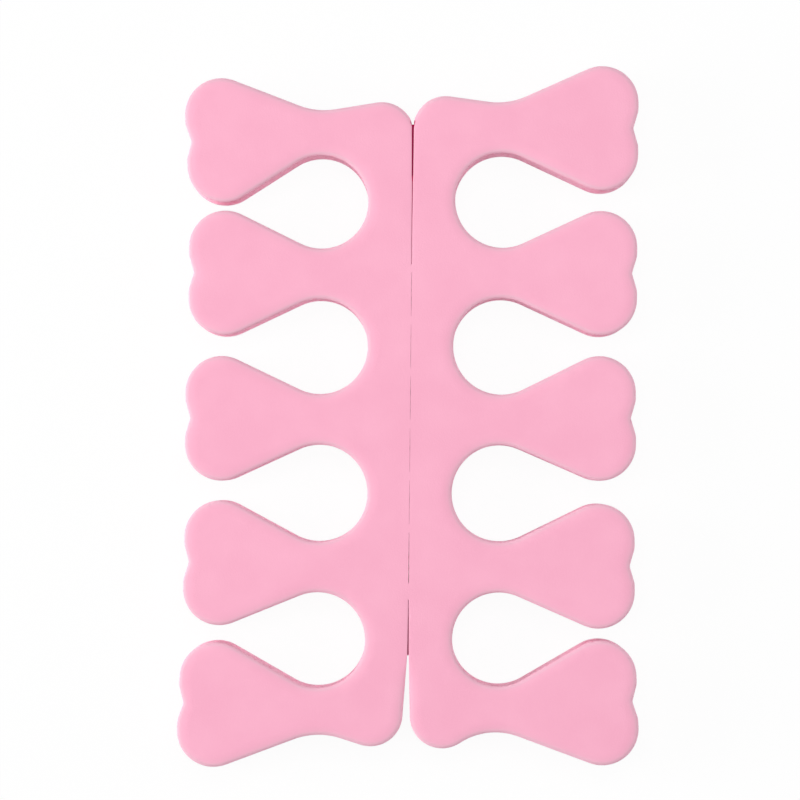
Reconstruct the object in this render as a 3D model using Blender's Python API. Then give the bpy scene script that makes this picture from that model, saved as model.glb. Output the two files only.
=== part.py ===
"""Toe separator: one sheet of soft foam, die-cut as a left and a right half.

The halves lie back to back along a tear line, which the cutting rule leaves bridged by
short nicks of uncut foam. Each half is a straight rail with five fingers, and a toe goes
into each of the four gaps between them. The origin is in the middle of the underside,
+X points to the right half, +Y to the end whose shoulders still touch, and +Z up.
"""

from dataclasses import dataclass
from math import acos, asin, atan2, ceil, cos, hypot, inf, pi, radians, sin, sqrt, tau

import bmesh
import bpy

# The sheet and its cut wall
THICKNESS = 0.008
ROLL_WIDTH = 0.0012  # how far from the edge the top skin starts to roll over
ROLL_DROP = 0.0007  # how far below the skin the roll meets the wall
ROLL_STEPS = 3
HEEL = 0.0003  # rounding of the lower edge
WAIST = 0.00018  # how far the wall is hollowed half-way up, where the foam sprang back

# The rail, the fingers and the gaps between them
FINGERS = 5
PITCH = 0.0209  # from one finger's axis to the next
NECK = 0.0072  # width of a finger between two gaps
RAIL = 0.0061  # foam between the tear line and a gap
TAPER = 0.0141  # along a finger, from a gap's round to the lobes' centres
MOUTH = 0.0031  # opening between two neighbouring tips

# The heart-shaped tip of a finger
LOBE_SPREAD = 0.0037  # from the finger's axis to the centre of a lobe
FACE_FLAT = 0.00085  # flat stretch of the tip's face on each lobe
FACE_RADIUS = 0.00245
NOTCH_DEPTH = 0.0007
NOTCH_RADIUS = 0.0008

# The outer necks and shoulders at both ends
END_NECK_RADIUS = 0.010
END_NECK_INSET = 0.0009  # how much nearer the tear line it lies than the gaps' rounds
SHOULDER_RADIUS = 0.0046
INNER_RADIUS = 0.0024  # where a top shoulder turns down into the tear line
STRAIGHT = 0.0003  # shortest straight stretch between a fillet and the round beyond it

# The tear line
SLIT = 0.0002  # width of an open slit where it ends
CUT_WIDTH = 0.00018  # width of a closed cut at its middle
BRIDGES = 7
BRIDGE = 0.0012  # length of uncut foam at a nick
NICK_PITCH = 0.00742
NICK_OFFSET = -0.0006  # the middle nick, seen from the middle finger's axis
PARTING = 0.00015  # from the tear line to a half at the top
SPLAY_LENGTH = 0.0092  # from the bottom shoulders' centres up to where the splay starts
SPLAY_RADIUS = 0.020

# How each half lies: the foam is soft, so its fingers are a little out of square.
# From the top finger to the bottom one: lean in degrees, and what it has over the
# even pitch and over the common reach.
RIGHT_LEAN = (0.1, 0.2, 0.7, 0.6, 2.8)
RIGHT_RISE = (0.00015, 0.00025, 0.00015, 0.0, 0.00035)
RIGHT_STRETCH = (0.0, 0.0, 0.0, 0.0, 0.0006)
RIGHT_CREST = (0.00445, 0.00535)  # top and bottom shoulder, beyond the end finger's axis
RIGHT_BITE = 0.00007  # how far the tear line cuts into the top shoulder's round
RIGHT_SPLAY = 0.00035  # from the tear line to the bottom shoulder
LEFT_LEAN = (-3.3, 0.0, 0.0, 1.0, 2.2)
LEFT_RISE = (-0.00045, -0.0001, 0.0, -0.0002, -0.0001)
LEFT_STRETCH = (0.0002, -0.0004, -0.0001, -0.0001, 0.0005)
LEFT_CREST = (0.0041, 0.0047)
LEFT_BITE = 0.00033
LEFT_SPLAY = 0.00070

# Facets and finish
CHORD = 0.000035  # how far a facet may stray from its arc
CUT_STEPS = 4  # facets on each side of a closed cut
CUTTER_OVERRUN = 0.001
SHARP_ANGLE = 50  # degrees
PINK = (0.965, 0.445, 0.600, 1.0)
ROUGHNESS = 0.85

# Sizes that follow from these
GAP_RADIUS = (PITCH - NECK) / 2
GAP_X = RAIL + GAP_RADIUS
LOBE_RADIUS = (PITCH - MOUTH) / 2 - LOBE_SPREAD
REACH = GAP_X + TAPER + LOBE_RADIUS
FACE_SPREAD = LOBE_SPREAD - FACE_FLAT


@dataclass(frozen=True)
class Round:
    """A circle that the outline wraps on its way round the foam.

    turn is 1 where the outline bends left and the foam is inside the circle, and -1
    where it bends right and the foam is outside it.
    """

    x: float
    y: float
    radius: float
    turn: int

    def mirrored(self):
        """The same round on the other half."""
        return Round(-self.x, self.y, self.radius, self.turn)

    def point(self, heading, inset):
        """The point where an outline this far inside the foam has this heading."""
        away = self.turn * self.radius - inset
        return self.x + away * sin(heading), self.y - away * cos(heading)


@dataclass(frozen=True)
class Finger:
    """A finger's axis, swung about the tear line by its lean."""

    y: float
    lean: float
    reach: float

    def round(self, x, across, radius, turn):
        """A round at a place along and across the finger, swung with it."""
        c, s = cos(self.lean), sin(self.lean)
        return Round(x * c - across * s, self.y + x * s + across * c, radius, turn)

    def seen(self, x, y):
        """How far along and across the finger a place lies."""
        c, s = cos(self.lean), sin(self.lean)
        return x * c + (y - self.y) * s, (y - self.y) * c - x * s

    def tip(self):
        """The lower lobe, the notch and the upper lobe, going up."""
        notch = min(NOTCH_RADIUS, widest_fillet(FACE_SPREAD, -NOTCH_DEPTH, FACE_RADIUS))
        lobe_x = self.reach - LOBE_RADIUS
        face_x = self.reach - FACE_RADIUS
        return [
            self.round(lobe_x, -LOBE_SPREAD, LOBE_RADIUS, 1),
            self.round(face_x, -FACE_SPREAD, FACE_RADIUS, 1),
            self.round(self.reach - NOTCH_DEPTH + notch, 0, notch, -1),
            self.round(face_x, FACE_SPREAD, FACE_RADIUS, 1),
            self.round(lobe_x, LOBE_SPREAD, LOBE_RADIUS, 1),
        ]


def widest_fillet(across, dip, radius):
    """The largest fillet with a straight stretch between it and a round of this radius.

    The fillet's lowest point lies across from the round's centre, and dip is its height
    over the round's crest, so it is negative for a hollow.
    """
    if dip >= 0:
        return inf
    rise = radius + dip
    return (across**2 + rise**2 - radius**2 - STRAIGHT**2) / (-2 * dip)


def end_of_half(finger, crest, edge, side):
    """The outer neck and the shoulder beyond an end finger.

    edge is how near the tear line the shoulder's round comes, and side is 1 at the top.
    """
    shoulder_x = edge + SHOULDER_RADIUS
    shoulder_y = finger.y + side * (crest - SHOULDER_RADIUS)
    along, across = finger.seen(shoulder_x, shoulder_y)
    neck_x = GAP_X - END_NECK_INSET
    dip = NECK / 2 - side * across - SHOULDER_RADIUS
    neck = min(END_NECK_RADIUS, widest_fillet(neck_x - along, dip, SHOULDER_RADIUS))
    return [
        finger.round(neck_x, side * (NECK / 2 + neck), neck, -1),
        Round(shoulder_x, shoulder_y, SHOULDER_RADIUS, 1),
    ]


def gap(finger, above):
    """The round of the gap between two fingers, which leaves each its neck."""
    radius = (above.y - finger.y - NECK) / 2
    return Round(GAP_X, (above.y + finger.y) / 2, radius, -1)


def inner_corner(shoulder, bite):
    """The round by which a top shoulder turns down along the tear line."""
    apart = SHOULDER_RADIUS - INNER_RADIUS
    rise = sqrt(apart**2 + STRAIGHT**2 - (apart - bite) ** 2)
    return Round(PARTING + INNER_RADIUS, shoulder.y + rise, INNER_RADIUS, 1)


def half(leans, rises, stretches, crests, bite, splay):
    """The rounds of a half that lies on +X, from its bottom shoulder to its top one."""
    fingers = []
    for index, (lean, rise, stretch) in enumerate(zip(leans, rises, stretches)):
        y = ((FINGERS - 1) / 2 - index) * PITCH + rise
        fingers.append(Finger(y, radians(lean), REACH + stretch))
    top, bottom = fingers[0], fingers[-1]
    neck, shoulder = end_of_half(bottom, crests[1], splay, -1)
    splay_y = shoulder.y + SPLAY_LENGTH
    rounds = [Round(SLIT / 2 + SPLAY_RADIUS, splay_y, SPLAY_RADIUS, 1), shoulder, neck]
    rounds += bottom.tip()
    for above, finger in reversed(list(zip(fingers, fingers[1:]))):
        rounds += [gap(finger, above), *above.tip()]
    neck, shoulder = end_of_half(top, crests[0], PARTING - bite, 1)
    return [*rounds, neck, shoulder, inner_corner(shoulder, bite)]


def nick(index):
    """The height of a nick's middle on the tear line, counted from the bottom."""
    return NICK_OFFSET + (index - (BRIDGES - 1) / 2) * NICK_PITCH


def sheet_rounds():
    """All rounds of the outline, anticlockwise."""
    top_slit = Round(0, nick(BRIDGES - 1) + BRIDGE / 2, SLIT / 2, -1)
    bottom_slit = Round(0, nick(0) - BRIDGE / 2, SLIT / 2, -1)
    right = half(
        RIGHT_LEAN, RIGHT_RISE, RIGHT_STRETCH, RIGHT_CREST, RIGHT_BITE, RIGHT_SPLAY
    )
    left = half(LEFT_LEAN, LEFT_RISE, LEFT_STRETCH, LEFT_CREST, LEFT_BITE, LEFT_SPLAY)
    left = [item.mirrored() for item in reversed(left)]
    return [*right, top_slit, *left, bottom_slit]


def heading_between(start, end):
    """The heading of the straight stretch that touches both rounds."""
    distance = hypot(end.x - start.x, end.y - start.y)
    swing = end.turn * end.radius - start.turn * start.radius
    return atan2(end.y - start.y, end.x - start.x) - asin(swing / distance)


def headings(rounds):
    """For each round, the headings at which the outline gets its points."""
    found = []
    for index, item in enumerate(rounds):
        first = heading_between(rounds[index - 1], item)
        last = heading_between(item, rounds[(index + 1) % len(rounds)])
        sweep = (last - first) * item.turn % tau
        widest = item.radius + (ROLL_WIDTH if item.turn < 0 else 0)
        count = max(1, ceil(sweep / (2 * acos(1 - CHORD / widest))))
        found.append([first + item.turn * sweep * k / count for k in range(count + 1)])
    return found


def wall_profile():
    """(inset, height) of each ring of the wall, from the underside to the top skin."""
    heel = [(HEEL, 0.0), (HEEL * (1 - sin(pi / 4)), HEEL * (1 - cos(pi / 4))), (0.0, HEEL)]
    shoulder = THICKNESS - ROLL_DROP
    waist = (WAIST, (HEEL + shoulder) / 2)
    roll = []
    for step in range(ROLL_STEPS + 1):
        angle = pi / 2 * step / ROLL_STEPS
        inset = ROLL_WIDTH * (1 - cos(angle))
        roll.append((inset, shoulder + ROLL_DROP * sin(angle)))
    return [*heel, waist, *roll]


def middle(points):
    """The centre of the box round the points."""
    xs, ys = zip(*points)
    return (min(xs) + max(xs)) / 2, (min(ys) + max(ys)) / 2


def sheet_mesh():
    """The foam sheet, ring upon ring, and the place of its box's centre."""
    rounds = sheet_rounds()
    bends = headings(rounds)
    edge = [item.point(h, 0) for item, turns in zip(rounds, bends) for h in turns]
    centre_x, centre_y = middle(edge)
    bm = bmesh.new()
    rings = []
    for inset, height in wall_profile():
        ring = []
        for item, turns in zip(rounds, bends):
            for heading in turns:
                x, y = item.point(heading, inset)
                ring.append(bm.verts.new((x - centre_x, y - centre_y, height)))
        rings.append(ring)
    for lower, upper in zip(rings, rings[1:]):
        for k, corner in enumerate(lower):
            bm.faces.new((lower[k - 1], corner, upper[k], upper[k - 1]))
    caps = [bm.faces.new(reversed(rings[0])), bm.faces.new(rings[-1])]
    bm.normal_update()
    bmesh.ops.triangulate(bm, faces=caps, ngon_method="BEAUTY")
    mesh = bpy.data.meshes.new("foam_sheet")
    bm.to_mesh(mesh)
    bm.free()
    return mesh, centre_x, centre_y


def cut_outline(low, high):
    """The points of one closed cut: two shallow arcs that meet at its ends."""
    length, bulge = high - low, CUT_WIDTH / 2
    radius = (length**2 / 4 + bulge**2) / (2 * bulge)
    spread = asin(length / 2 / radius)
    points = []
    for side in (1, -1):
        for k in range(CUT_STEPS):
            angle = side * spread * (2 * k / CUT_STEPS - 1)
            points.append((
                side * (radius * cos(angle) - radius + bulge),
                (low + high) / 2 + radius * sin(angle),
            ))
    return points


def tear_line_cutter(centre_x, centre_y):
    """One blade for each closed cut between two nicks."""
    bm = bmesh.new()
    for index in range(BRIDGES - 1):
        outline = cut_outline(nick(index) + BRIDGE / 2, nick(index + 1) - BRIDGE / 2)
        corners = [(x - centre_x, y - centre_y, -CUTTER_OVERRUN) for x, y in outline]
        face = bm.faces.new([bm.verts.new(corner) for corner in corners])
        made = bmesh.ops.extrude_face_region(bm, geom=[face])["geom"]
        upper = [item for item in made if isinstance(item, bmesh.types.BMVert)]
        bmesh.ops.translate(bm, verts=upper, vec=(0, 0, THICKNESS + 2 * CUTTER_OVERRUN))
    bmesh.ops.recalc_face_normals(bm, faces=bm.faces)
    mesh = bpy.data.meshes.new("tear_line_blades")
    bm.to_mesh(mesh)
    bm.free()
    cutter = bpy.data.objects.new("tear_line_blades", mesh)
    bpy.context.scene.collection.objects.link(cutter)
    cutter.hide_render = True
    cutter.display_type = "WIRE"
    return cutter


def foam():
    """Matt pink closed-cell foam."""
    material = bpy.data.materials.new("pink_foam")
    material.use_nodes = True
    shader = material.node_tree.nodes["Principled BSDF"]
    shader.inputs["Base Color"].default_value = PINK
    shader.inputs["Roughness"].default_value = ROUGHNESS
    shader.inputs["Metallic"].default_value = 0.0
    return material


def main():
    for item in list(bpy.data.objects):
        bpy.data.objects.remove(item)
    mesh, centre_x, centre_y = sheet_mesh()
    mesh.shade_smooth()
    mesh.set_sharp_from_angle(angle=radians(SHARP_ANGLE))
    mesh.materials.append(foam())
    separator = bpy.data.objects.new("toe_separator", mesh)
    bpy.context.scene.collection.objects.link(separator)
    tear = separator.modifiers.new("tear_line", "BOOLEAN")
    tear.operation = "DIFFERENCE"
    tear.solver = "EXACT"
    tear.object = tear_line_cutter(centre_x, centre_y)


if __name__ == "__main__":
    main()
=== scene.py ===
"""Looks for the toe separator: one die-cut foam sheet, its floor, light and camera.

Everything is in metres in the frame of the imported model: the origin is in the middle of
the underside, +X points to the right half, +Y to the end whose shoulders touch, +Z up.
"""

from __future__ import annotations

import logging
from dataclasses import dataclass, field
from enum import Enum
from math import acos, asin, atan, atan2, ceil, cos, hypot, inf
from math import pi, radians, sin, sqrt, tau
from typing import Any

import bmesh
import bpy
from bpy.types import Material, Node, NodeSocket, Object
from mathutils import Matrix, Vector


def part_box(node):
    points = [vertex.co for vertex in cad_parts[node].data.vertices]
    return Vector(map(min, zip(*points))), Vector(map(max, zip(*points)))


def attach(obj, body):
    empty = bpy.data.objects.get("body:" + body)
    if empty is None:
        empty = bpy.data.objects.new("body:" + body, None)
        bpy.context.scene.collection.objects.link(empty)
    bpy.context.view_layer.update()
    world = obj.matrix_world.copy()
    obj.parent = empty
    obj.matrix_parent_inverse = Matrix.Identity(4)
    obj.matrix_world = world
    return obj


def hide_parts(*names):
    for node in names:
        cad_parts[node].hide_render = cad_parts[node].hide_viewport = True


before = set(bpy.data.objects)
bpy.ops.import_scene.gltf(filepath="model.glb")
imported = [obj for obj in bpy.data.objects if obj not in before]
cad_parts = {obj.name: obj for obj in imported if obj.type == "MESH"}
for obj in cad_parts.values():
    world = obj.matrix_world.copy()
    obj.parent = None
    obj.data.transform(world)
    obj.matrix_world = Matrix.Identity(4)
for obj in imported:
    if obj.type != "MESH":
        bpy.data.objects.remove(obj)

LOG = logging.getLogger("toe_separator")
Colour = tuple[float, float, float, float]
Pair = tuple[float, float]

# Heights this near each other are one level, and points this near are merged.
SAME_LEVEL = 0.00001
MERGE_DISTANCE = 0.000002
# A face whose normal is at least this upright counts as level.
FLAT_NORMAL = 0.9
# The numbers of the colour sockets of Blender's Mix node: three inputs and the output.
MIX_SHARE, MIX_FIRST, MIX_SECOND, MIX_RESULT = 0, 6, 7, 2


class Bend(Enum):
    """Which way the outline bends at a round: the foam is inside or outside it."""

    CONVEX = 1
    HOLLOW = -1


@dataclass(frozen=True)
class Round:
    """A circle that the outline wraps on its way round the foam."""

    x: float
    y: float
    radius: float
    bend: Bend

    def mirrored(self) -> Round:
        """The same round on the other half."""
        return Round(-self.x, self.y, self.radius, self.bend)

    def at(self, heading: float) -> Vector:
        """The point of the round where the outline has this heading."""
        away = self.bend.value * self.radius
        return Vector((self.x + away * sin(heading), self.y - away * cos(heading), 0.0))

    def heading_to(self, other: Round) -> float:
        """The heading of the straight stretch that touches this round and the next.

        Args:
            other: The next round on the way.

        Returns:
            The heading in radians, anticlockwise from +X.
        """
        across, along = other.x - self.x, other.y - self.y
        swing = other.bend.value * other.radius - self.bend.value * self.radius
        return atan2(along, across) - asin(swing / hypot(across, along))


@dataclass(frozen=True)
class Arc:
    """The part of a round that the outline follows."""

    round: Round
    first: float
    sweep: float
    steps: int

    @property
    def start(self) -> Vector:
        """Where the outline meets the round."""
        return self.round.at(self.first)

    @property
    def end(self) -> Vector:
        """Where the outline leaves the round."""
        return self.round.at(self.first + self.sweep)


@dataclass(frozen=True)
class Finger:
    """A finger's axis, swung about the tear line by its lean."""

    y: float
    lean: float
    reach: float

    def round(self, along: float, across: float, radius: float, bend: Bend) -> Round:
        """A round at a place along and across the finger, swung with it.

        Args:
            along: Distance from the tear line.
            across: Distance from the finger's axis, upwards.
            radius: The round's radius.
            bend: Whether the foam is inside it or outside.

        Returns:
            The round in the sheet's own frame.
        """
        c, s = cos(self.lean), sin(self.lean)
        x = along * c - across * s
        y = self.y + along * s + across * c
        return Round(x, y, radius, bend)

    def seen(self, x: float, y: float) -> Pair:
        """How far along and across the finger a place lies."""
        c, s = cos(self.lean), sin(self.lean)
        return x * c + (y - self.y) * s, (y - self.y) * c - x * s


@dataclass(frozen=True)
class Lie:
    """How a half lies: the foam is soft, so its fingers are a little out of square.

    The first three run from the top finger to the bottom one: the lean in degrees, and
    what the finger has over the even pitch and over the common reach. The crests are
    those of the top and the bottom shoulder, beyond the end finger's axis. The tear
    line bites into the top shoulder's round, and the bottom shoulder splays away from
    it.
    """

    leans: tuple[float, ...]
    rises: tuple[float, ...]
    stretches: tuple[float, ...]
    crests: Pair
    bite: float
    splay: float


@dataclass(frozen=True)
class Outline:
    """The die's outline: two rails back to back, each with five lobed fingers.

    The slits are drawn finer than in the solid: a parting at the top shoulders, a pinch
    part of the way down, where the top slit narrows from its first half width to its
    second, and a gape where the bottom slit ends.
    """

    pitch: float = 0.0209
    neck: float = 0.0072
    rail: float = 0.0061
    taper: float = 0.0141
    mouth: float = 0.0031
    lobe_spread: float = 0.0037
    face_flat: float = 0.00085
    face_radius: float = 0.00245
    notch_depth: float = 0.0007
    notch_radius: float = 0.0008
    end_neck_radius: float = 0.010
    end_neck_inset: float = 0.0009
    shoulder_radius: float = 0.0046
    inner_radius: float = 0.0024
    straight: float = 0.0003
    slit: float = 0.00006
    parting: float = 0.00016
    pinch: Pair = (0.00011, 0.00006)
    pinch_y: float = 0.0350
    pinch_step: float = 0.0011
    pinch_radius: float = 0.003
    splay_length: float = 0.0092
    splay_radius: float = 0.020
    gape: float = 0.0001
    right: Lie = Lie(
        leans=(0.1, 0.2, 0.7, 0.6, 2.8),
        rises=(0.00015, 0.00025, 0.00015, 0.0, 0.00035),
        stretches=(0.0, 0.0, 0.0, 0.0, 0.0006),
        crests=(0.00445, 0.00535),
        bite=0.00007,
        splay=0.00035,
    )
    left: Lie = Lie(
        leans=(-3.3, 0.0, 0.0, 1.0, 2.2),
        rises=(-0.00045, -0.0001, 0.0, -0.0002, -0.0001),
        stretches=(0.0002, -0.0004, -0.0001, -0.0001, 0.0005),
        crests=(0.0041, 0.0047),
        bite=0.00033,
        splay=0.00070,
    )
    chord: float = 0.000005
    finest: float = radians(15)
    pencil: float = 0.0001
    stroke: float = 0.0012

    @property
    def gap_x(self) -> float:
        """From the tear line to the centre of a toe gap's round."""
        return self.rail + (self.pitch - self.neck) / 2

    @property
    def lobe_radius(self) -> float:
        """Radius of a lobe at a finger's tip."""
        return (self.pitch - self.mouth) / 2 - self.lobe_spread

    def widest_fillet(self, across: float, dip: float, radius: float) -> float:
        """The largest fillet that still leaves a straight stretch before a round.

        Args:
            across: From the round's centre to the fillet's lowest point.
            dip: That point's height over the round's crest, negative for a hollow.
            radius: The round's radius.

        Returns:
            The fillet's radius.
        """
        if dip >= 0:
            return inf
        rise = radius + dip
        return (across**2 + rise**2 - radius**2 - self.straight**2) / (-2 * dip)

    def tip(self, finger: Finger) -> list[Round]:
        """The rounds of a finger's tip.

        Args:
            finger: The finger.

        Returns:
            The lower lobe and its face, the notch, and the upper face and its lobe.
        """
        spread = self.lobe_spread - self.face_flat
        fillet = self.widest_fillet(spread, -self.notch_depth, self.face_radius)
        notch = min(self.notch_radius, fillet)
        notch_x = finger.reach - self.notch_depth + notch
        lobe_x = finger.reach - self.lobe_radius
        face_x = finger.reach - self.face_radius
        return [
            finger.round(lobe_x, -self.lobe_spread, self.lobe_radius, Bend.CONVEX),
            finger.round(face_x, -spread, self.face_radius, Bend.CONVEX),
            finger.round(notch_x, 0.0, notch, Bend.HOLLOW),
            finger.round(face_x, spread, self.face_radius, Bend.CONVEX),
            finger.round(lobe_x, self.lobe_spread, self.lobe_radius, Bend.CONVEX),
        ]

    def end(self, finger: Finger, crest: float, edge: float, way: int) -> list[Round]:
        """The outer neck and the shoulder beyond an end finger.

        Args:
            finger: The end finger.
            crest: The shoulder's height over the finger's axis.
            edge: How near the tear line the shoulder's round comes.
            way: 1 at the top and -1 at the bottom.

        Returns:
            The neck's round and the shoulder's.
        """
        shoulder_x = edge + self.shoulder_radius
        shoulder_y = finger.y + way * (crest - self.shoulder_radius)
        along, across = finger.seen(shoulder_x, shoulder_y)
        neck_x = self.gap_x - self.end_neck_inset
        dip = self.neck / 2 - way * across - self.shoulder_radius
        fillet = self.widest_fillet(neck_x - along, dip, self.shoulder_radius)
        radius = min(self.end_neck_radius, fillet)
        return [
            finger.round(neck_x, way * (self.neck / 2 + radius), radius, Bend.HOLLOW),
            Round(shoulder_x, shoulder_y, self.shoulder_radius, Bend.CONVEX),
        ]

    def gap(self, finger: Finger, above: Finger) -> Round:
        """The round of the gap between two fingers, which leaves each its neck."""
        radius = (above.y - finger.y - self.neck) / 2
        return Round(self.gap_x, (above.y + finger.y) / 2, radius, Bend.HOLLOW)

    def inner_corner(self, shoulder: Round, bite: float) -> Round:
        """The round by which a top shoulder turns down along the tear line.

        Args:
            shoulder: The shoulder's round.
            bite: How far the tear line bites into it.

        Returns:
            The corner's round, whose side is that of the slit.
        """
        apart = self.shoulder_radius - self.inner_radius
        rise = sqrt(apart**2 + self.straight**2 - (apart - bite) ** 2)
        x = self.parting + self.inner_radius
        return Round(x, shoulder.y + rise, self.inner_radius, Bend.CONVEX)

    def pinched(self) -> list[Round]:
        """The step in which the top slit narrows.

        Returns:
            The hollow round and the convex one below it.
        """
        radius = self.pinch_radius
        wide, narrow = self.pinch
        low = self.pinch_y - self.pinch_step
        return [
            Round(wide - radius, self.pinch_y, radius, Bend.HOLLOW),
            Round(narrow + radius, low, radius, Bend.CONVEX),
        ]

    def half(self, lie: Lie) -> list[Round]:
        """The outline of a half that lies on +X.

        Args:
            lie: How the half lies.

        Returns:
            Its rounds, from the bottom shoulder's splay to the step in the top slit.
        """
        common = self.gap_x + self.taper + self.lobe_radius
        row: list[Finger] = []
        lies = zip(lie.leans, lie.rises, lie.stretches)
        for index, (lean, rise, stretch) in enumerate(lies):
            y = ((len(lie.leans) - 1) / 2 - index) * self.pitch + rise
            row.append(Finger(y, radians(lean), common + stretch))
        neck, shoulder = self.end(row[-1], lie.crests[1], lie.splay, -1)
        splay_x = self.gape + self.splay_radius
        splay_y = shoulder.y + self.splay_length
        splay = Round(splay_x, splay_y, self.splay_radius, Bend.CONVEX)
        rounds = [splay, shoulder, neck]
        rounds += self.tip(row[-1])
        for above, finger in reversed(list(zip(row, row[1:]))):
            rounds += [self.gap(finger, above), *self.tip(above)]
        neck, shoulder = self.end(row[0], lie.crests[0], self.parting - lie.bite, 1)
        corner = self.inner_corner(shoulder, lie.bite)
        return [*rounds, neck, shoulder, corner, *self.pinched()]

    def rounds(self, slit_top: float, slit_bottom: float) -> list[Round]:
        """All rounds of the outline, anticlockwise.

        Args:
            slit_top: Height at which the open slit from the top ends.
            slit_bottom: Height at which the open slit from the bottom ends.

        Returns:
            The right half, the top slit's end, the left half and the bottom slit's end.
        """
        right = self.half(self.right)
        left = [item.mirrored() for item in reversed(self.half(self.left))]
        top = Round(0.0, slit_top, self.slit / 2, Bend.HOLLOW)
        bottom = Round(0.0, slit_bottom, self.slit / 2, Bend.HOLLOW)
        return [*right, top, *left, bottom]

    def arcs(self, rounds: list[Round]) -> list[Arc]:
        """The arc that the outline follows on each round.

        Args:
            rounds: The rounds that the outline wraps.

        Returns:
            The arcs in the same order, each with the number of its short steps.
        """
        found: list[Arc] = []
        for index, item in enumerate(rounds):
            first = rounds[index - 1].heading_to(item)
            last = item.heading_to(rounds[(index + 1) % len(rounds)])
            turn = item.bend.value
            sweep = (last - first) * turn % tau
            step = min(self.finest, 2 * acos(1 - self.chord / item.radius))
            found.append(Arc(item, first, turn * sweep, max(1, ceil(sweep / step))))
        return found

    def draw(self, rounds: list[Round], height: float) -> Object:
        """Draws the outline with spins and straight strokes, and fills it with a face.

        Args:
            rounds: The rounds that the outline wraps.
            height: The height at which it is drawn.

        Returns:
            The flat face's object, left in edit mode with the face selected.
        """
        arcs = self.arcs(rounds)
        start = arcs[0].start + Vector((0.0, 0.0, height))
        bpy.ops.mesh.primitive_plane_add(size=self.pencil, location=start)
        bpy.ops.object.mode_set(mode="EDIT")
        bpy.ops.mesh.select_mode(type="VERT")
        bpy.ops.mesh.select_all(action="SELECT")
        bpy.ops.mesh.merge(type="CENTER")
        for arc, following in zip(arcs, arcs[1:] + arcs[:1]):
            bpy.ops.mesh.spin(
                steps=arc.steps,
                angle=-arc.sweep,
                center=(arc.round.x, arc.round.y, height),
                axis=(0, 0, 1),
            )
            straight = following.start - arc.end
            strokes = ceil(straight.length / self.stroke)
            for _ in range(strokes):
                move = {"value": straight / strokes}
                bpy.ops.mesh.extrude_vertices_move(TRANSFORM_OT_translate=move)
        bpy.ops.mesh.select_all(action="SELECT")
        bpy.ops.mesh.remove_doubles(threshold=MERGE_DISTANCE)
        bpy.ops.mesh.edge_face_add()
        bpy.ops.mesh.select_mode(type="FACE")
        bpy.ops.mesh.select_all(action="SELECT")
        return bpy.context.object


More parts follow.
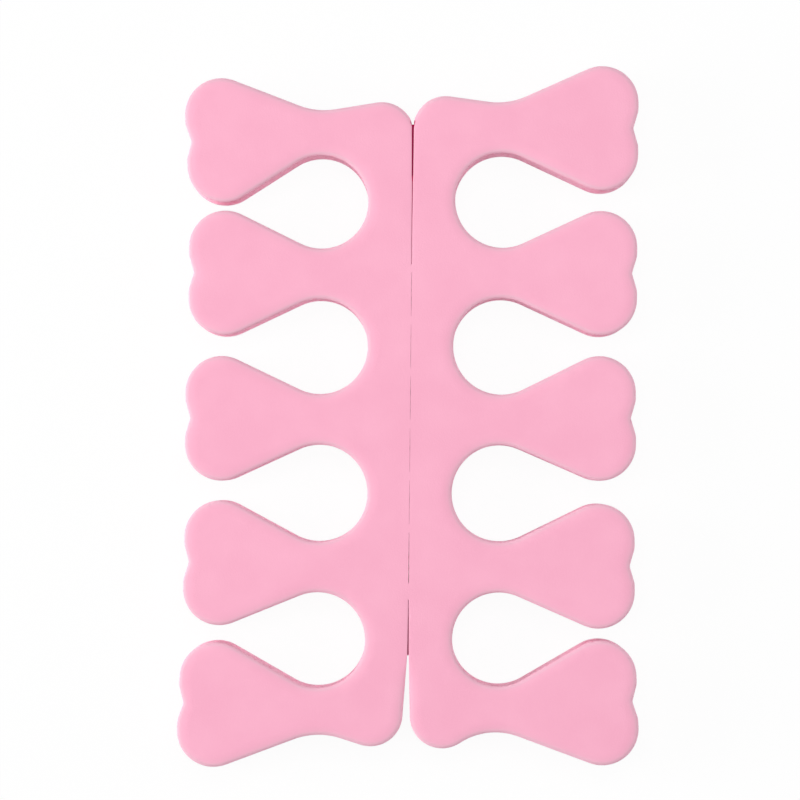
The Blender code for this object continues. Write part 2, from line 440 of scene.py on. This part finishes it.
@dataclass(frozen=True)
class TearLine:
    """The line of cuts between the halves, with a nick of uncut foam after each."""

    nicks: int = 7
    nick_length: float = 0.0012
    nick_pitch: float = 0.00742
    nick_offset: float = -0.0006
    bottom_reach: float = 0.0011
    bottom_nick: float = 0.0023
    openings: tuple[float, ...] = (10e-6, 4e-6, 5e-6, 5e-6, 5e-6, 6e-6)
    closed: float = 2e-6
    lens_power: float = 0.5
    ripple_mean: float = 0.6
    ripple_swing: float = 0.4
    slow_wave: Pair = (2.1, 8.0)
    quick_wave: Pair = (1.3, 21.0)
    strain: float = 2.5
    strain_power: int = 4
    stations: int = 28
    overrun: float = 0.0005
    flare: tuple[Pair, ...] = ((0.0076, 1.5), (0.0079, 4.0), (0.0084, 40.0))
    web_floor: float = 0.0004
    web_height: float = 0.0070
    web_width: float = 0.0009
    web_bevel: float = 0.0001
    web_bevel_steps: int = 2
    web_ends: Pair = (-0.0336, 0.0423)

    def nick(self, index: int) -> float:
        """The height of a nick's middle on the tear line, counted from the bottom."""
        return self.nick_offset + (index - (self.nicks - 1) / 2) * self.nick_pitch

    @property
    def slit_top(self) -> float:
        """Where the open slit from the top ends."""
        return self.nick(self.nicks - 1) + self.nick_length / 2

    @property
    def slit_bottom(self) -> float:
        """Where the open slit from the bottom ends, below a nick that is longer."""
        return self.cut_low(0) - self.bottom_nick

    def cut_low(self, index: int) -> float:
        """The lower end of a closed cut; the bottom one reaches further down."""
        reach = self.bottom_reach if index == 0 else 0.0
        return self.nick(index) + self.nick_length / 2 - reach

    @staticmethod
    def wave(turns: Pair, index: int, share: float) -> float:
        """A wave along a cut; turns are its shift per cut and its run along one."""
        return sin(turns[0] * index + turns[1] * share)

    def width(self, index: int, share: float) -> float:
        """How wide a closed cut stands open at a share of its length.

        Args:
            index: The cut, counted from the bottom.
            share: 0 at its lower end and 1 at its upper one.

        Returns:
            The width, which comes and goes as the foam presses the cut shut. The bottom
            cut is strained open at its lower end, by the splay of the halves below it.
        """
        lens = sin(pi * share) ** self.lens_power
        slow = self.wave(self.slow_wave, index, share)
        quick = self.wave(self.quick_wave, index, share)
        ripple = self.ripple_mean + self.ripple_swing * slow * quick
        strain = self.strain * (1 - share) ** self.strain_power if index == 0 else 0.0
        return self.closed + self.openings[index] * lens * (ripple + strain)

    def blade(self, index: int) -> Object:
        """The thin wedge that a closed cut leaves, flared where it meets the skin.

        Args:
            index: The cut, counted from the bottom.

        Returns:
            The wedge, which is then taken out of the sheet.
        """
        low = self.cut_low(index)
        high = self.nick(index + 1) - self.nick_length / 2
        step = (high - low) / self.stations
        top = self.flare[-1][0]
        foot = (0, low, 0)
        upright = (pi / 2, 0, 0)
        bpy.ops.mesh.primitive_plane_add(size=1.0, location=foot, rotation=upright)
        bpy.ops.object.mode_set(mode="EDIT")
        bpy.ops.mesh.select_all(action="SELECT")
        tall = top + self.overrun
        size = (self.width(index, 0), 1, tall)
        bpy.ops.transform.resize(value=size, center_override=foot)
        bpy.ops.transform.translate(value=(0, 0, tall / 2 - self.overrun))
        for height, spread in self.flare:
            bpy.ops.mesh.select_all(action="SELECT")
            if height < top:
                bpy.ops.mesh.bisect(plane_co=(0, 0, height), plane_no=(0, 0, 1))
            select_level(bpy.context.object, height)
            centre = (0, low, height)
            bpy.ops.transform.resize(value=(spread, 1, 1), center_override=centre)
        bpy.ops.mesh.select_all(action="SELECT")
        for station in range(self.stations):
            now, following = station / self.stations, (station + 1) / self.stations
            spread = self.width(index, following) / self.width(index, now)
            stroke = Vector((0, step, 0))
            bpy.ops.mesh.extrude_region_move(TRANSFORM_OT_translate={"value": stroke})
            centre = (0, low + following * (high - low), 0)
            bpy.ops.transform.resize(value=(spread, 1, 1), center_override=centre)
        bpy.ops.mesh.select_all(action="SELECT")
        bpy.ops.mesh.normals_make_consistent(inside=False)
        return at_origin(bpy.context.object)

    def web(self, low: float, high: float) -> Object:
        """The foam that still closes an open slit near the underside.

        Args:
            low: Where the web begins on the tear line.
            high: Where it ends.

        Returns:
            The web.
        """
        middle = (0, (low + high) / 2, self.web_floor + self.web_height / 2)
        bpy.ops.mesh.primitive_cube_add(size=1.0, location=middle)
        bpy.ops.object.mode_set(mode="EDIT")
        bpy.ops.mesh.select_all(action="SELECT")
        size = (self.web_width, high - low, self.web_height)
        bpy.ops.transform.resize(value=size, center_override=middle)
        bpy.ops.mesh.bevel(offset=self.web_bevel, segments=self.web_bevel_steps)
        return at_origin(bpy.context.object)

    def blades(self) -> Object:
        """All closed cuts as one cutter."""
        return joined([self.blade(index) for index in range(self.nicks - 1)])

    def webs(self) -> Object:
        """The webs of both open slits.

        Returns:
            Both webs as one object.
        """
        overlap = self.nick_length / 2
        lower = self.web(self.web_ends[0], self.slit_bottom + overlap)
        upper = self.web(self.slit_top - overlap, self.web_ends[1])
        return joined([lower, upper])


@dataclass(frozen=True)
class Wall:
    """The cut wall and the rim where the skin rolls over into it.

    The rim is a tight corner and a wide roll, added up. The seam's pairs say where the
    crisp stretch fades out: across the tear line, and towards its top and its bottom.
    """

    thickness: float = 0.008
    heel: float = 0.0003
    heel_steps: int = 3
    waist: float = 0.00018
    levels: int = 6
    corner_width: float = 0.00044
    corner_drop: float = 0.00033
    roll_width: float = 0.0018
    roll_drop: float = 0.00023
    flat_ring: float = 0.0002
    corner_steps: int = 4
    roll_steps: int = 6
    crisp: float = 0.08
    seam: Pair = (0.0021, 0.0034)
    seam_top: Pair = (0.0412, 0.0440)
    seam_bottom: Pair = (0.0335, 0.0395)

    @property
    def shoulder(self) -> float:
        """Height at which the wall ends and the rim begins."""
        return self.thickness - self.corner_drop - self.roll_drop

    def drop(self, inset: float) -> float:
        """How far the rim lies below the skin.

        Args:
            inset: Distance from the edge.

        Returns:
            The corner's drop and the roll's together.
        """
        corner = max(0.0, 1 - inset / self.corner_width)
        roll = max(0.0, 1 - inset / self.roll_width)
        return self.corner_drop * (1 - sqrt(1 - corner**2)) + self.roll_drop * roll**2

    def stations(self) -> list[float]:
        """Where the rim gets a ring.

        Returns:
            Distances from the edge, over the corner, over the roll and just past it.
        """
        corner = [
            self.corner_width * (1 - cos(pi / 2 * k / self.corner_steps))
            for k in range(self.corner_steps + 1)
        ]
        rest = self.roll_width - self.corner_width
        roll = [
            self.corner_width + rest * (k + 1) / self.roll_steps
            for k in range(self.roll_steps)
        ]
        return [*corner, *roll, self.roll_width + self.flat_ring]

    def raise_wall(self, sheet: Object) -> None:
        """Extrudes the selected face into a wall and hollows it towards its middle.

        Args:
            sheet: The flat face's object, in edit mode.
        """
        rise = (self.shoulder - self.heel) / self.levels
        for _ in range(self.levels):
            stroke = Vector((0, 0, rise))
            bpy.ops.mesh.extrude_region_move(TRANSFORM_OT_translate={"value": stroke})
        bpy.ops.mesh.select_all(action="SELECT")
        bpy.ops.mesh.normals_make_consistent(inside=False)
        bpy.ops.mesh.select_mode(type="VERT")
        for level in range(1, self.levels):
            share = 2 * level / self.levels - 1
            select_level(sheet, self.heel + level * rise)
            inset = self.waist * (1 - share**2)
            bpy.ops.transform.shrink_fatten(value=-inset, use_even_offset=True)
        bpy.ops.mesh.select_mode(type="FACE")

    def roll_rim(self, sheet: Object) -> None:
        """Insets the top face ring by ring, so that the skin rolls over its edge.

        Args:
            sheet: The raised sheet, in edit mode.
        """
        select_cap(sheet, 1)
        stations = self.stations()
        for near, far in zip(stations, stations[1:]):
            depth = self.drop(near) - self.drop(far)
            bpy.ops.mesh.inset(thickness=far - near, depth=depth, use_even_offset=True)

    def keep_seam_crisp(self, sheet: Object) -> None:
        """Lifts the rim beside the tear line, where the halves press on each other.

        Args:
            sheet: The sheet with its rim, in edit mode.
        """
        mesh = bmesh.from_edit_mesh(sheet.data)
        for vertex in mesh.verts:
            x, y, z = sheet.matrix_world @ vertex.co
            if z < self.shoulder - SAME_LEVEL:
                continue
            away = max(
                ease(abs(x), *self.seam),
                ease(y, *self.seam_top),
                ease(-y, *self.seam_bottom),
            )
            lift = (1 - self.crisp) * (1 - away)
            vertex.co.z += (self.thickness - z) * lift
        bmesh.update_edit_mesh(sheet.data)

    def round_heel(self, sheet: Object) -> None:
        """Insets the bottom face, so that the wall rounds into the underside.

        Args:
            sheet: The raised sheet, in edit mode.
        """
        select_cap(sheet, -1)
        turns = [pi / 2 * k / self.heel_steps for k in range(self.heel_steps + 1)]
        for near, far in zip(turns, turns[1:]):
            thickness = self.heel * (cos(near) - cos(far))
            depth = self.heel * (sin(far) - sin(near))
            bpy.ops.mesh.inset(thickness=thickness, depth=depth, use_even_offset=True)
        bpy.ops.mesh.inset(thickness=self.flat_ring, use_even_offset=True)


def ease(value: float, low: float, high: float) -> float:
    """0 below low, 1 above high, and a smooth rise from one to the other."""
    share = min(1.0, max(0.0, (value - low) / (high - low)))
    return share * share * (3 - 2 * share)


def select_level(item: Object, height: float) -> None:
    """Selects the vertices that lie at a height.

    Args:
        item: The object, in edit mode.
        height: The height in the frame of the model.
    """
    mesh = bmesh.from_edit_mesh(item.data)
    bpy.ops.mesh.select_all(action="DESELECT")
    for vertex in mesh.verts:
        vertex.select = abs((item.matrix_world @ vertex.co).z - height) < SAME_LEVEL
    mesh.select_flush_mode()
    bmesh.update_edit_mesh(item.data)


def select_cap(item: Object, way: int) -> None:
    """Selects the one large face that closes the sheet above or below.

    Args:
        item: The object, in edit mode.
        way: 1 for the face that looks up and -1 for the one that looks down.
    """
    mesh = bmesh.from_edit_mesh(item.data)
    bpy.ops.mesh.select_all(action="DESELECT")
    facing = [face for face in mesh.faces if face.normal.z * way > FLAT_NORMAL]
    max(facing, key=lambda face: face.calc_area()).select = True
    mesh.select_flush_mode()
    bmesh.update_edit_mesh(item.data)


def at_origin(item: Object) -> Object:
    """Leaves edit mode and moves the object's origin to that of the frame.

    Args:
        item: The object, in edit or object mode.

    Returns:
        The same object, with its place in its mesh.
    """
    bpy.ops.object.mode_set(mode="OBJECT")
    bpy.ops.object.select_all(action="DESELECT")
    item.select_set(True)
    bpy.context.view_layer.objects.active = item
    bpy.ops.object.transform_apply(location=True, rotation=True, scale=True)
    return item


def joined(items: list[Object]) -> Object:
    """Joins several objects.

    Args:
        items: The objects.

    Returns:
        The first of them, which now holds the meshes of all.
    """
    bpy.ops.object.select_all(action="DESELECT")
    for item in items:
        item.select_set(True)
    bpy.context.view_layer.objects.active = items[0]
    bpy.ops.object.join()
    return items[0]


def combine(item: Object, tool: Object, operation: str) -> None:
    """Applies a Boolean to the object and deletes the tool.

    Args:
        item: The object that is changed.
        tool: The solid that cuts it or is added to it.
        operation: Blender's name of the Boolean, UNION or DIFFERENCE.
    """
    bpy.ops.object.select_all(action="DESELECT")
    item.select_set(True)
    bpy.context.view_layer.objects.active = item
    modifier = item.modifiers.new(tool.name, "BOOLEAN")
    modifier.operation = operation
    modifier.solver = "EXACT"
    modifier.object = tool
    bpy.ops.object.modifier_apply(modifier=modifier.name)
    bpy.data.objects.remove(tool)


class Reading:
    """A number that changes over a surface and takes part in Python expressions."""

    def __init__(self, book: NodeBook, socket: NodeSocket) -> None:
        """Wraps an output socket of a material's node."""
        self.book = book
        self.socket = socket

    def math(
        self,
        operation: str,
        *others: Reading | float,
        clamp: bool = False,
    ) -> Reading:
        """Adds a Math node that takes this reading first.

        Args:
            operation: Blender's name of the operation.
            others: The other operands.
            clamp: Whether the result is kept between 0 and 1.

        Returns:
            The node's result.
        """
        settings = {"operation": operation, "use_clamp": clamp}
        sockets = dict(enumerate((self, *others)))
        return self.book.reading("ShaderNodeMath", settings, sockets)

    def __add__(self, other: Reading | float) -> Reading:
        """The sum."""
        return self.math("ADD", other)

    __radd__ = __add__

    def __sub__(self, other: Reading | float) -> Reading:
        """The difference."""
        return self.math("SUBTRACT", other)

    def __rsub__(self, other: float) -> Reading:
        """The difference from a plain number."""
        return self.math("MULTIPLY", -1.0).math("ADD", other)

    def __mul__(self, other: Reading | float) -> Reading:
        """The product."""
        return self.math("MULTIPLY", other)

    __rmul__ = __mul__

    def between(self, low: float, high: float) -> Reading:
        """0 below low, 1 above high, and a straight ramp from one to the other."""
        return ((self - low) * (1 / (high - low))).math("ADD", 0.0, clamp=True)

    def inside(self, low: float, high: float, fade: float) -> Reading:
        """1 inside a range, with a ramp to 0 over the fade at each of its ends."""
        return self.between(low, low + fade) * (1.0 - self.between(high - fade, high))


class NodeBook:
    """The nodes of one material."""

    def __init__(self, material: Material) -> None:
        """Starts from an empty node tree.

        Args:
            material: The material that the nodes are for.
        """
        material.use_nodes = True
        self.tree = material.node_tree
        self.tree.nodes.clear()

    def node(
        self,
        kind: str,
        settings: dict[str, Any] | None = None,
        sockets: dict[int | str, Any] | None = None,
    ) -> Node:
        """Adds a node.

        Args:
            kind: Blender's name of the node type.
            settings: Its properties, which are set first.
            sockets: Values or links of its inputs, by name or number.

        Returns:
            The node.
        """
        made = self.tree.nodes.new(kind)
        for name, value in (settings or {}).items():
            setattr(made, name, value)
        for name, value in (sockets or {}).items():
            if isinstance(value, Reading):
                value = value.socket
            if isinstance(value, NodeSocket):
                self.tree.links.new(value, made.inputs[name])
            else:
                made.inputs[name].default_value = value
        return made

    def reading(
        self,
        kind: str,
        settings: dict[str, Any] | None = None,
        sockets: dict[int | str, Any] | None = None,
        output: int | str = 0,
    ) -> Reading:
        """Adds a node and returns one of its outputs as a number."""
        return Reading(self, self.node(kind, settings, sockets).outputs[output])

    def blend(self, share: Reading | float, first: Any, second: Any) -> NodeSocket:
        """Blends two colours.

        Args:
            share: 0 gives the first colour and 1 the second.
            first: A colour or a link.
            second: Another colour or a link.

        Returns:
            The blended colour.
        """
        sockets = {MIX_SHARE: share, MIX_FIRST: first, MIX_SECOND: second}
        mix = self.node("ShaderNodeMix", {"data_type": "RGBA"}, sockets)
        return mix.outputs[MIX_RESULT]

    def place(self) -> NodeSocket:
        """The place on the object, in metres."""
        return self.node("ShaderNodeTexCoord").outputs["Object"]

    def axis(self, name: str) -> Reading:
        """One coordinate of the place on the object."""
        return self.reading("ShaderNodeSeparateXYZ", None, {0: self.place()}, name)

    def noise(self, size: float, detail: float = 2.0) -> Reading:
        """Soft noise whose blotches are about this size."""
        sockets = {"Vector": self.place(), "Scale": 1 / size, "Detail": detail}
        return self.reading("ShaderNodeTexNoise", None, sockets)

    def cells(self, size: float) -> Reading:
        """Distance from the middle of cells of about this size, in cell widths."""
        sockets = {"Vector": self.place(), "Scale": 1 / size}
        return self.reading("ShaderNodeTexVoronoi", {"feature": "F1"}, sockets)


@dataclass(frozen=True)
class FoamFinish:
    """Matt closed-cell foam: a fine skin on the faces and opened cells on the cut wall.

    A span or a flatness says between which readings a mask goes from 0 to 1: of noise,
    of cells, or of how level a face lies. The slits' ends are heights on the tear line.
    """

    skin: Colour = (0.985, 0.460, 0.615, 1.0)
    deep: Colour = (0.955, 0.430, 0.585, 1.0)
    pale: Colour = (0.990, 0.490, 0.640, 1.0)
    # Painted shade: a darker, greyer pink where the skin rolls over its edge.
    rim: Colour = (0.890, 0.490, 0.610, 1.0)
    cut: Colour = (0.990, 0.590, 0.720, 1.0)
    pore: Colour = (0.950, 0.460, 0.600, 1.0)
    torn: Colour = (0.950, 0.380, 0.540, 1.0)
    fleck: Colour = (1.000, 0.700, 0.790, 1.0)
    # Painted shade: a dark crimson inside the open slits, and a lighter one where the top
    # slit is nearly shut.
    slit: Colour = (0.500, 0.010, 0.100, 1.0)
    shut: Colour = (0.800, 0.030, 0.170, 1.0)
    shut_ends: Pair = (0.0200, 0.0345)
    slit_side: float = 0.0003
    slit_depth: float = 0.00012
    slit_edge: float = 1.3
    slit_ends: Pair = (-0.0342, 0.0424)
    slit_fade: float = 0.0003
    # Where the painted rim shade fades out beside the tear line.
    seam: Pair = (0.0003, 0.0010)
    face_flatness: Pair = (0.35, 0.75)
    rim_shade_flatness: Pair = (0.955, 0.998)
    detail: float = 3.0
    blotch: float = 0.006
    blotch_span: Pair = (0.35, 0.75)
    grain: float = 0.00022
    grain_span: Pair = (0.55, 0.95)
    grain_share: float = 0.5
    cell: float = 0.00045
    cell_span: Pair = (0.10, 0.45)
    tear: float = 0.0004
    torn_span: Pair = (0.36, 0.44)
    fleck_span: Pair = (0.58, 0.66)
    speck_spacing: float = 0.0045
    speck: float = 0.018
    speck_edge: float = 1.8
    speck_patch: float = 3.0
    speck_span: Pair = (0.52, 0.60)
    speck_share: float = 0.6
    skin_roughness: float = 0.78
    cut_roughness: float = 0.95
    gloss: float = 0.30
    grain_depth: float = 0.00002
    cell_depth: float = 0.00010
    top: float = 0.008

    def slit_shade_mask(self, book: NodeBook, across: Reading) -> Reading:
        """Finds the inside of the open slits, where painted shade stands for their dark.

        Args:
            book: The material's nodes.
            across: Distance from the tear line.

        Returns:
            1 inside the slits, where the shade is painted, and 0 elsewhere.
        """
        along, up = book.axis("Y"), book.axis("Z")
        beside = 1.0 - across.between(self.slit_side, self.slit_side + self.slit_depth)
        deepest = self.top - self.slit_edge * self.slit_depth
        below = 1.0 - up.between(deepest, self.top - self.slit_depth)
        return beside * below * along.inside(*self.slit_ends, self.slit_fade)

    def slit_shade_colour(self, book: NodeBook) -> NodeSocket:
        """The slits' painted shade, a dark crimson that is lighter where the top one is
        nearly shut.
        """
        shut = book.axis("Y").inside(*self.shut_ends, self.slit_fade)
        return book.blend(shut, self.slit, self.shut)

    def skin_colour_with_rim_shade(self, book: NodeBook, rim: Reading, grain: Reading) -> NodeSocket:
        """The skin's pink, cloudy and finely grained, with painted shade on its rim.

        Args:
            book: The material's nodes.
            rim: 1 where the skin rolls over and gets painted shade, and 0 elsewhere.
            grain: The skin's fine grain.

        Returns:
            The colour.
        """
        blotches = book.noise(self.blotch, self.detail)
        colour = book.blend(blotches.between(*self.blotch_span), self.deep, self.skin)
        pale = grain.between(*self.grain_span) * self.grain_share
        colour = book.blend(pale, colour, self.pale)
        # Painted shade on the rolled rim.
        return book.blend(rim, colour, self.rim)

    def wall_colour(self, book: NodeBook, cells: Reading) -> NodeSocket:
        """The cut wall's pink: opened cells, with torn places and pale flecks.

        Args:
            book: The material's nodes.
            cells: Distance from the middle of the cells.

        Returns:
            The colour.
        """
        tears = book.noise(self.tear, self.detail)
        colour = book.blend(cells.between(*self.cell_span), self.pore, self.cut)
        colour = book.blend(1.0 - tears.between(*self.torn_span), colour, self.torn)
        return book.blend(tears.between(*self.fleck_span), colour, self.fleck)

    def specks(self, book: NodeBook) -> Reading:
        """Finds a few dark specks, which lie in loose patches.

        Args:
            book: The material's nodes.

        Returns:
            1 on a speck, and 0 elsewhere.
        """
        spread = book.cells(self.speck_spacing)
        patches = book.noise(self.speck_spacing * self.speck_patch, 0.0)
        spots = 1.0 - spread.between(self.speck, self.speck * self.speck_edge)
        return spots * patches.between(*self.speck_span)

    def material(self, tear_x: float) -> Material:
        """Makes the finish as a Blender material.

        Args:
            tear_x: Where the tear line lies across the sheet.

        Returns:
            The material.
        """
        made = bpy.data.materials.new("pink_foam")
        book = NodeBook(made)
        across = (book.axis("X") - tear_x).math("ABSOLUTE")
        normal = book.node("ShaderNodeNewGeometry").outputs["Normal"]
        upward = book.reading("ShaderNodeSeparateXYZ", None, {0: normal}, "Z")
        flatness = upward.math("ABSOLUTE")
        face = flatness.between(*self.face_flatness)
        # Painted shade on the rolled rim, by how steeply the skin slopes, left off beside
        # the tear line.
        rim = (1.0 - flatness.between(*self.rim_shade_flatness)) * across.between(*self.seam)
        grain = book.noise(self.grain)
        cells = book.cells(self.cell)
        skin = self.skin_colour_with_rim_shade(book, rim, grain)
        colour = book.blend(face, self.wall_colour(book, cells), skin)
        # Painted shade: dark crimson inside the open slits.
        slit = self.slit_shade_colour(book)
        colour = book.blend(self.slit_shade_mask(book, across), colour, slit)
        specks = self.specks(book) * face
        colour = book.blend(specks * self.speck_share, colour, self.pore)
        smoother = self.skin_roughness - self.cut_roughness
        roughness = face * smoother + self.cut_roughness
        skin_relief = face * (grain * self.grain_depth)
        relief = skin_relief + (1.0 - face) * (cells * self.cell_depth)
        bump = book.node("ShaderNodeBump", None, {"Distance": 1.0, "Height": relief})
        sockets = {
            "Base Color": colour,
            "Roughness": roughness,
            "Normal": bump.outputs["Normal"],
            "Specular IOR Level": self.gloss,
        }
        shader = book.node("ShaderNodeBsdfPrincipled", None, sockets)
        book.node("ShaderNodeOutputMaterial", None, {"Surface": shader.outputs[0]})
        return made


@dataclass
class FoamSheet:
    """The die-cut sheet: a left and a right separator, still joined."""

    outline: Outline = field(default_factory=Outline)
    tear_line: TearLine = field(default_factory=TearLine)
    wall: Wall = field(default_factory=Wall)
    finish: FoamFinish = field(default_factory=FoamFinish)
    node: str = "toe_separator"
    smooth_below: float = radians(50)
    tear_x: float = 0.0

    def build(self) -> Object:
        """Draws the outline, raises it and cuts the tear line.

        Returns:
            The sheet, with its place in its mesh.
        """
        bpy.ops.object.select_all(action="DESELECT")
        line = self.tear_line
        rounds = self.outline.rounds(line.slit_top, line.slit_bottom)
        sheet = self.outline.draw(rounds, self.wall.heel)
        self.wall.raise_wall(sheet)
        self.wall.roll_rim(sheet)
        self.wall.keep_seam_crisp(sheet)
        self.wall.round_heel(sheet)
        at_origin(sheet)
        sheet.name = sheet.data.name = "foam_sheet"
        combine(sheet, line.webs(), "UNION")
        combine(sheet, line.blades(), "DIFFERENCE")
        self.centre(sheet)
        bpy.ops.object.select_all(action="DESELECT")
        sheet.select_set(True)
        bpy.ops.object.shade_smooth_by_angle(angle=self.smooth_below)
        return sheet

    def centre(self, sheet: Object) -> None:
        """Moves the sheet to where the CAD node lies, with its origin left in place.

        Args:
            sheet: The sheet, with its tear line cut.
        """
        low, high = (Vector(corner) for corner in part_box(self.node))
        corners = [Vector(corner) for corner in sheet.bound_box]
        own_low = Vector(map(min, zip(*corners)))
        own_high = Vector(map(max, zip(*corners)))
        shift = (low + high - own_low - own_high) / 2
        sheet.location = (shift.x, shift.y, low.z - own_low.z)
        self.tear_x = shift.x
        at_origin(sheet)

    def dress(self, sheet: Object) -> None:
        """Gives the sheet its finish and its place in the model.

        Args:
            sheet: The sheet as it was built.
        """
        sheet.data.materials.clear()
        sheet.data.materials.append(self.finish.material(self.tear_x))
        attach(sheet, "root")
        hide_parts(self.node)


@dataclass(frozen=True)
class Lamp:
    """A square soft light that looks at the sheet."""

    name: str
    place: tuple[float, float, float]
    size: float
    level: float

    def build(self) -> Object:
        """Adds the light; level is how bright it makes a white face turned to it.

        Returns:
            The light's object.
        """
        spot = Vector(self.place)
        bpy.ops.object.light_add(type="AREA", location=spot)
        lamp = bpy.context.object
        lamp.name = self.name
        lamp.data.size = self.size
        lamp.data.energy = self.level * (pi * spot.length) ** 2
        lamp.rotation_euler = (-spot).to_track_quat("-Z", "Y").to_euler()
        return lamp


@dataclass(frozen=True)
class Studio:
    """A pale floor, soft lamps and the camera that looks down on the sheet.

    The foot is the place under the camera and the aim is where it looks, both on the
    skin. The view is view_width across there.
    """

    floor_size: float = 4.0
    floor_colour: Colour = (0.93, 0.93, 0.93, 1.0)
    floor_glow: float = 0.94
    sky: float = 0.33
    lamps: tuple[Lamp, ...] = (
        Lamp("key", (-0.80, 0.00, 0.27), 0.45, 0.72),
        Lamp("fill", (0.68, 0.04, 0.42), 0.40, 0.12),
        Lamp("top", (0.00, 0.07, 0.47), 0.30, 0.455),
    )
    view_width: float = 0.1142
    sensor_mm: float = 36.0
    distance: float = 0.563
    foot: Pair = (-0.00002, -0.00815)
    aim: Pair = (-0.00154, 0.00226)
    tilt: float = atan(0.00943)

    def floor(self) -> Object:
        """A plain pale floor, white to the camera, that keeps the sheet's shadow.

        Returns:
            The floor.
        """
        bpy.ops.mesh.primitive_plane_add(size=self.floor_size)
        floor = bpy.context.object
        floor.name = "floor"
        material = bpy.data.materials.new("pale_floor")
        book = NodeBook(material)
        rays = book.node("ShaderNodeLightPath")
        seen = Reading(book, rays.outputs["Is Camera Ray"])
        seen = seen.math("MAXIMUM", Reading(book, rays.outputs["Is Glossy Ray"]))
        seen = seen.math("MAXIMUM", Reading(book, rays.outputs["Is Transmission Ray"]))
        plain = book.node("ShaderNodeBsdfDiffuse", None, {"Color": self.floor_colour})
        white = book.node("ShaderNodeEmission", None, {"Strength": 1.0})
        sockets = {0: seen * self.floor_glow, 1: plain.outputs[0], 2: white.outputs[0]}
        mixed = book.node("ShaderNodeMixShader", None, sockets)
        book.node("ShaderNodeOutputMaterial", None, {"Surface": mixed.outputs[0]})
        floor.data.materials.append(material)
        return floor

    def light(self) -> None:
        """Adds the lamps and an even sky."""
        for lamp in self.lamps:
            lamp.build()
        world = bpy.data.worlds.new("sky")
        world.use_nodes = True
        sky = world.node_tree.nodes["Background"]
        sky.inputs["Color"].default_value = (1.0, 1.0, 1.0, 1.0)
        sky.inputs["Strength"].default_value = self.sky
        bpy.context.scene.world = world

    def camera(self, height: float) -> Object:
        """Adds the camera over the sheet's skin.

        Args:
            height: The skin's height over the floor.

        Returns:
            The camera.
        """
        eye = Vector((*self.foot, height + self.distance))
        look = Vector((*self.aim, height)) - eye
        right = look.cross(Vector((-sin(self.tilt), cos(self.tilt), 0.0))).normalized()
        up = right.cross(look).normalized()
        turned = Matrix((right, up, -look.normalized())).transposed()
        bpy.ops.object.camera_add(location=eye, rotation=turned.to_euler())
        camera = bpy.context.object
        camera.name = "camera"
        camera.data.sensor_width = self.sensor_mm
        camera.data.lens = self.sensor_mm * look.length / self.view_width
        bpy.context.scene.camera = camera
        return camera

    def build(self, height: float) -> None:
        """Sets up the floor, the light and the camera.

        Args:
            height: The skin's height over the floor.
        """
        self.floor()
        self.light()
        self.camera(height)
        bpy.context.scene.view_settings.view_transform = "Standard"


def main() -> None:
    """Builds and dresses the foam sheet, then the studio round it."""
    logging.basicConfig(level=logging.INFO, format="%(message)s")
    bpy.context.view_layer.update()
    foam = FoamSheet()
    sheet = foam.build()
    foam.dress(sheet)
    counts = len(sheet.data.polygons), len(sheet.data.vertices)
    LOG.info("foam sheet: %d faces, %d points", *counts)
    studio = Studio()
    studio.build(foam.wall.thickness)
    LOG.info("studio: floor, %d lamps and camera", len(studio.lamps))


if __name__ == "__main__":
    main()
